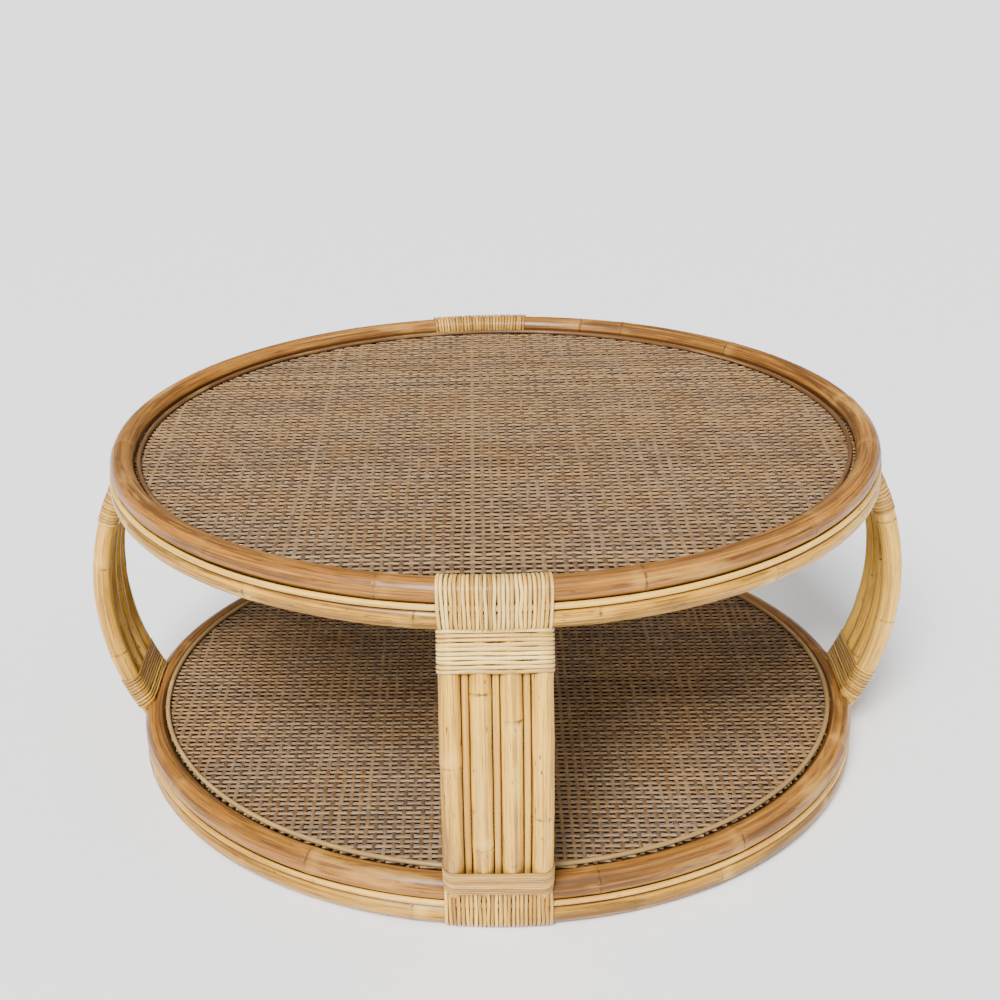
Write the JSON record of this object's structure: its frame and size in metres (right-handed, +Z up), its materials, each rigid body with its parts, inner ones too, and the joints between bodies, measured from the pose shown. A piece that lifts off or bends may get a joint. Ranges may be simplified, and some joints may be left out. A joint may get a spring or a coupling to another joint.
{
  "type": "coffee table",
  "caption": "Round two-tier rattan coffee table with woven cane top and shelf on bowed pole-bundle legs bound with cane strands.",
  "frame": {"origin": "on the floor, under the middle of the table", "axes": "+Z up; the front leg stands at -Y and the right leg at +X"},
  "size_m": [0.9746, 0.9746, 0.408],
  "materials": {
    "amber_pole": "lacquered honey-amber rattan pole with nodes",
    "straw_pole": "lacquered straw-coloured rattan pole with nodes",
    "leg_pole": "satin pale straw rattan pole",
    "groove_cane": "satin pale round cane",
    "filler_cane": "satin pale round cane",
    "bead_cane": "satin round cane",
    "wrapped_strands": "glossy flat cane strands",
    "cane_webbing": "open woven flat cane, matt",
    "hidden_pole": "plain rattan pole",
    "screw_steel": "zinc-plated wood screw"
  },
  "bodies": {
    "root": {"back_foot_wrap": "wrapped_strands", "back_leg_filler_canes": "filler_cane", "back_leg_foot_binding": "wrapped_strands", "back_leg_pole_1": "leg_pole", "back_leg_pole_2": "leg_pole", "back_leg_pole_3": "leg_pole", "back_leg_pole_4": "leg_pole", "back_leg_top_binding": "wrapped_strands", "back_top_wrap": "wrapped_strands", "front_foot_wrap": "wrapped_strands", "front_leg_filler_canes": "filler_cane", "front_leg_foot_binding": "wrapped_strands", "front_leg_pole_1": "leg_pole", "front_leg_pole_2": "leg_pole", "front_leg_pole_3": "leg_pole", "front_leg_pole_4": "leg_pole", "front_leg_top_binding": "wrapped_strands", "front_top_wrap": "wrapped_strands", "left_leg_filler_canes": "filler_cane", "left_leg_foot_binding": "wrapped_strands", "left_leg_pole_1": "leg_pole", "left_leg_pole_2": "leg_pole", "left_leg_pole_3": "leg_pole", "left_leg_pole_4": "leg_pole", "left_leg_top_binding": "wrapped_strands", "right_leg_filler_canes": "filler_cane", "right_leg_foot_binding": "wrapped_strands", "right_leg_pole_1": "leg_pole", "right_leg_pole_2": "leg_pole", "right_leg_pole_3": "leg_pole", "right_leg_pole_4": "leg_pole", "right_leg_top_binding": "wrapped_strands", "shelf_back_rail_left": "hidden_pole", "shelf_back_rail_right": "hidden_pole", "shelf_bead": "bead_cane", "shelf_cross_bar": "hidden_pole", "shelf_front_rail_left": "hidden_pole", "shelf_front_rail_right": "hidden_pole", "shelf_groove_cane": "groove_cane", "shelf_leg_screws": "screw_steel", "shelf_lower_ring": "straw_pole", "shelf_rail_screws": "screw_steel", "shelf_support_ring": "hidden_pole", "shelf_upper_ring": "amber_pole", "shelf_webbing": "cane_webbing", "top_back_rail_left": "hidden_pole", "top_back_rail_right": "hidden_pole", "top_bead": "bead_cane", "top_cross_bar": "hidden_pole", "top_front_rail_left": "hidden_pole", "top_front_rail_right": "hidden_pole", "top_groove_cane": "groove_cane", "top_leg_screws": "screw_steel", "top_lower_ring": "straw_pole", "top_rail_screws": "screw_steel", "top_support_ring": "hidden_pole", "top_upper_ring": "amber_pole", "top_upper_ring_splice": "amber_pole", "top_webbing": "cane_webbing"}
  },
  "joints": []
}
